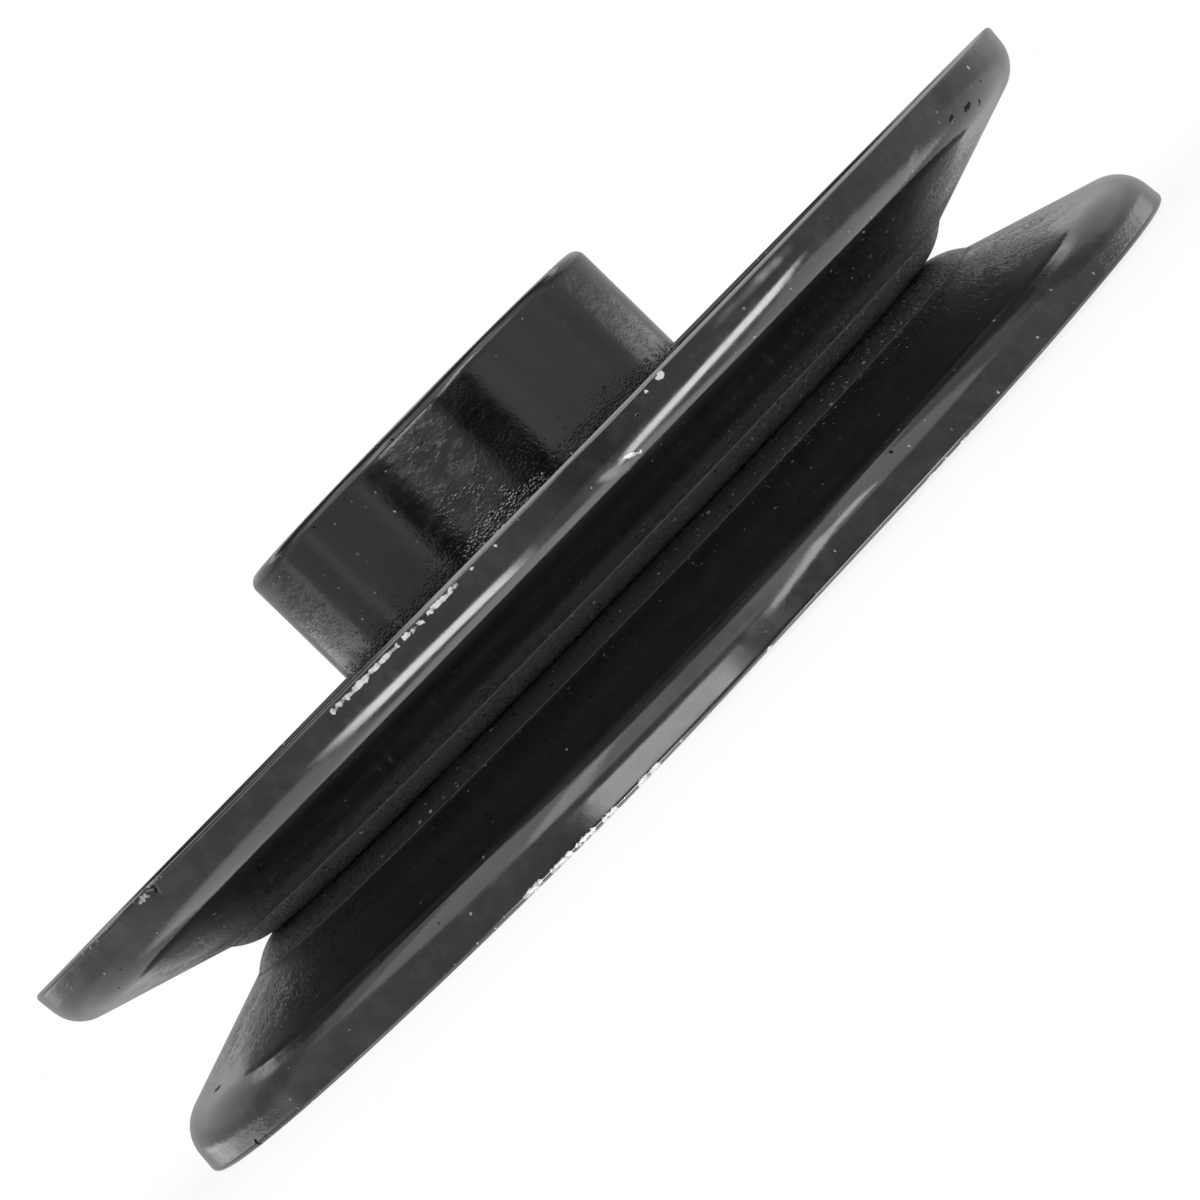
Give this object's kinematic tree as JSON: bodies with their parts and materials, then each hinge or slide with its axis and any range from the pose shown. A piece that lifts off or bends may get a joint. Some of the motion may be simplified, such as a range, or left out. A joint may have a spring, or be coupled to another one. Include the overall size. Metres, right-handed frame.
{
  "type": "deck pulley",
  "caption": "Pressed steel V-belt pulley for a mower deck: dished discs with curled lips lie back to back on a welded, turned hub with a keyed bore, painted black.",
  "frame": {"origin": "on the shaft axis, in the plane of the far lip's cut edge, on which the pulley rests", "axes": "+Z along the shaft axis, from the far lip to the hub's end; +Y through the keyway"},
  "size_m": [0.146, 0.146, 0.0413],
  "materials": {
    "disc_paint": "semi-gloss black paint over pressed steel, worn at the lips",
    "hub_paint": "semi-gloss black paint over turned steel",
    "weld_paint": "black paint over a rough weld bead"
  },
  "bodies": {
    "root": {"hub_side_disc": "disc_paint", "far_side_disc": "disc_paint", "hub": "hub_paint", "hub_weld_bead": "weld_paint"}
  },
  "joints": []
}
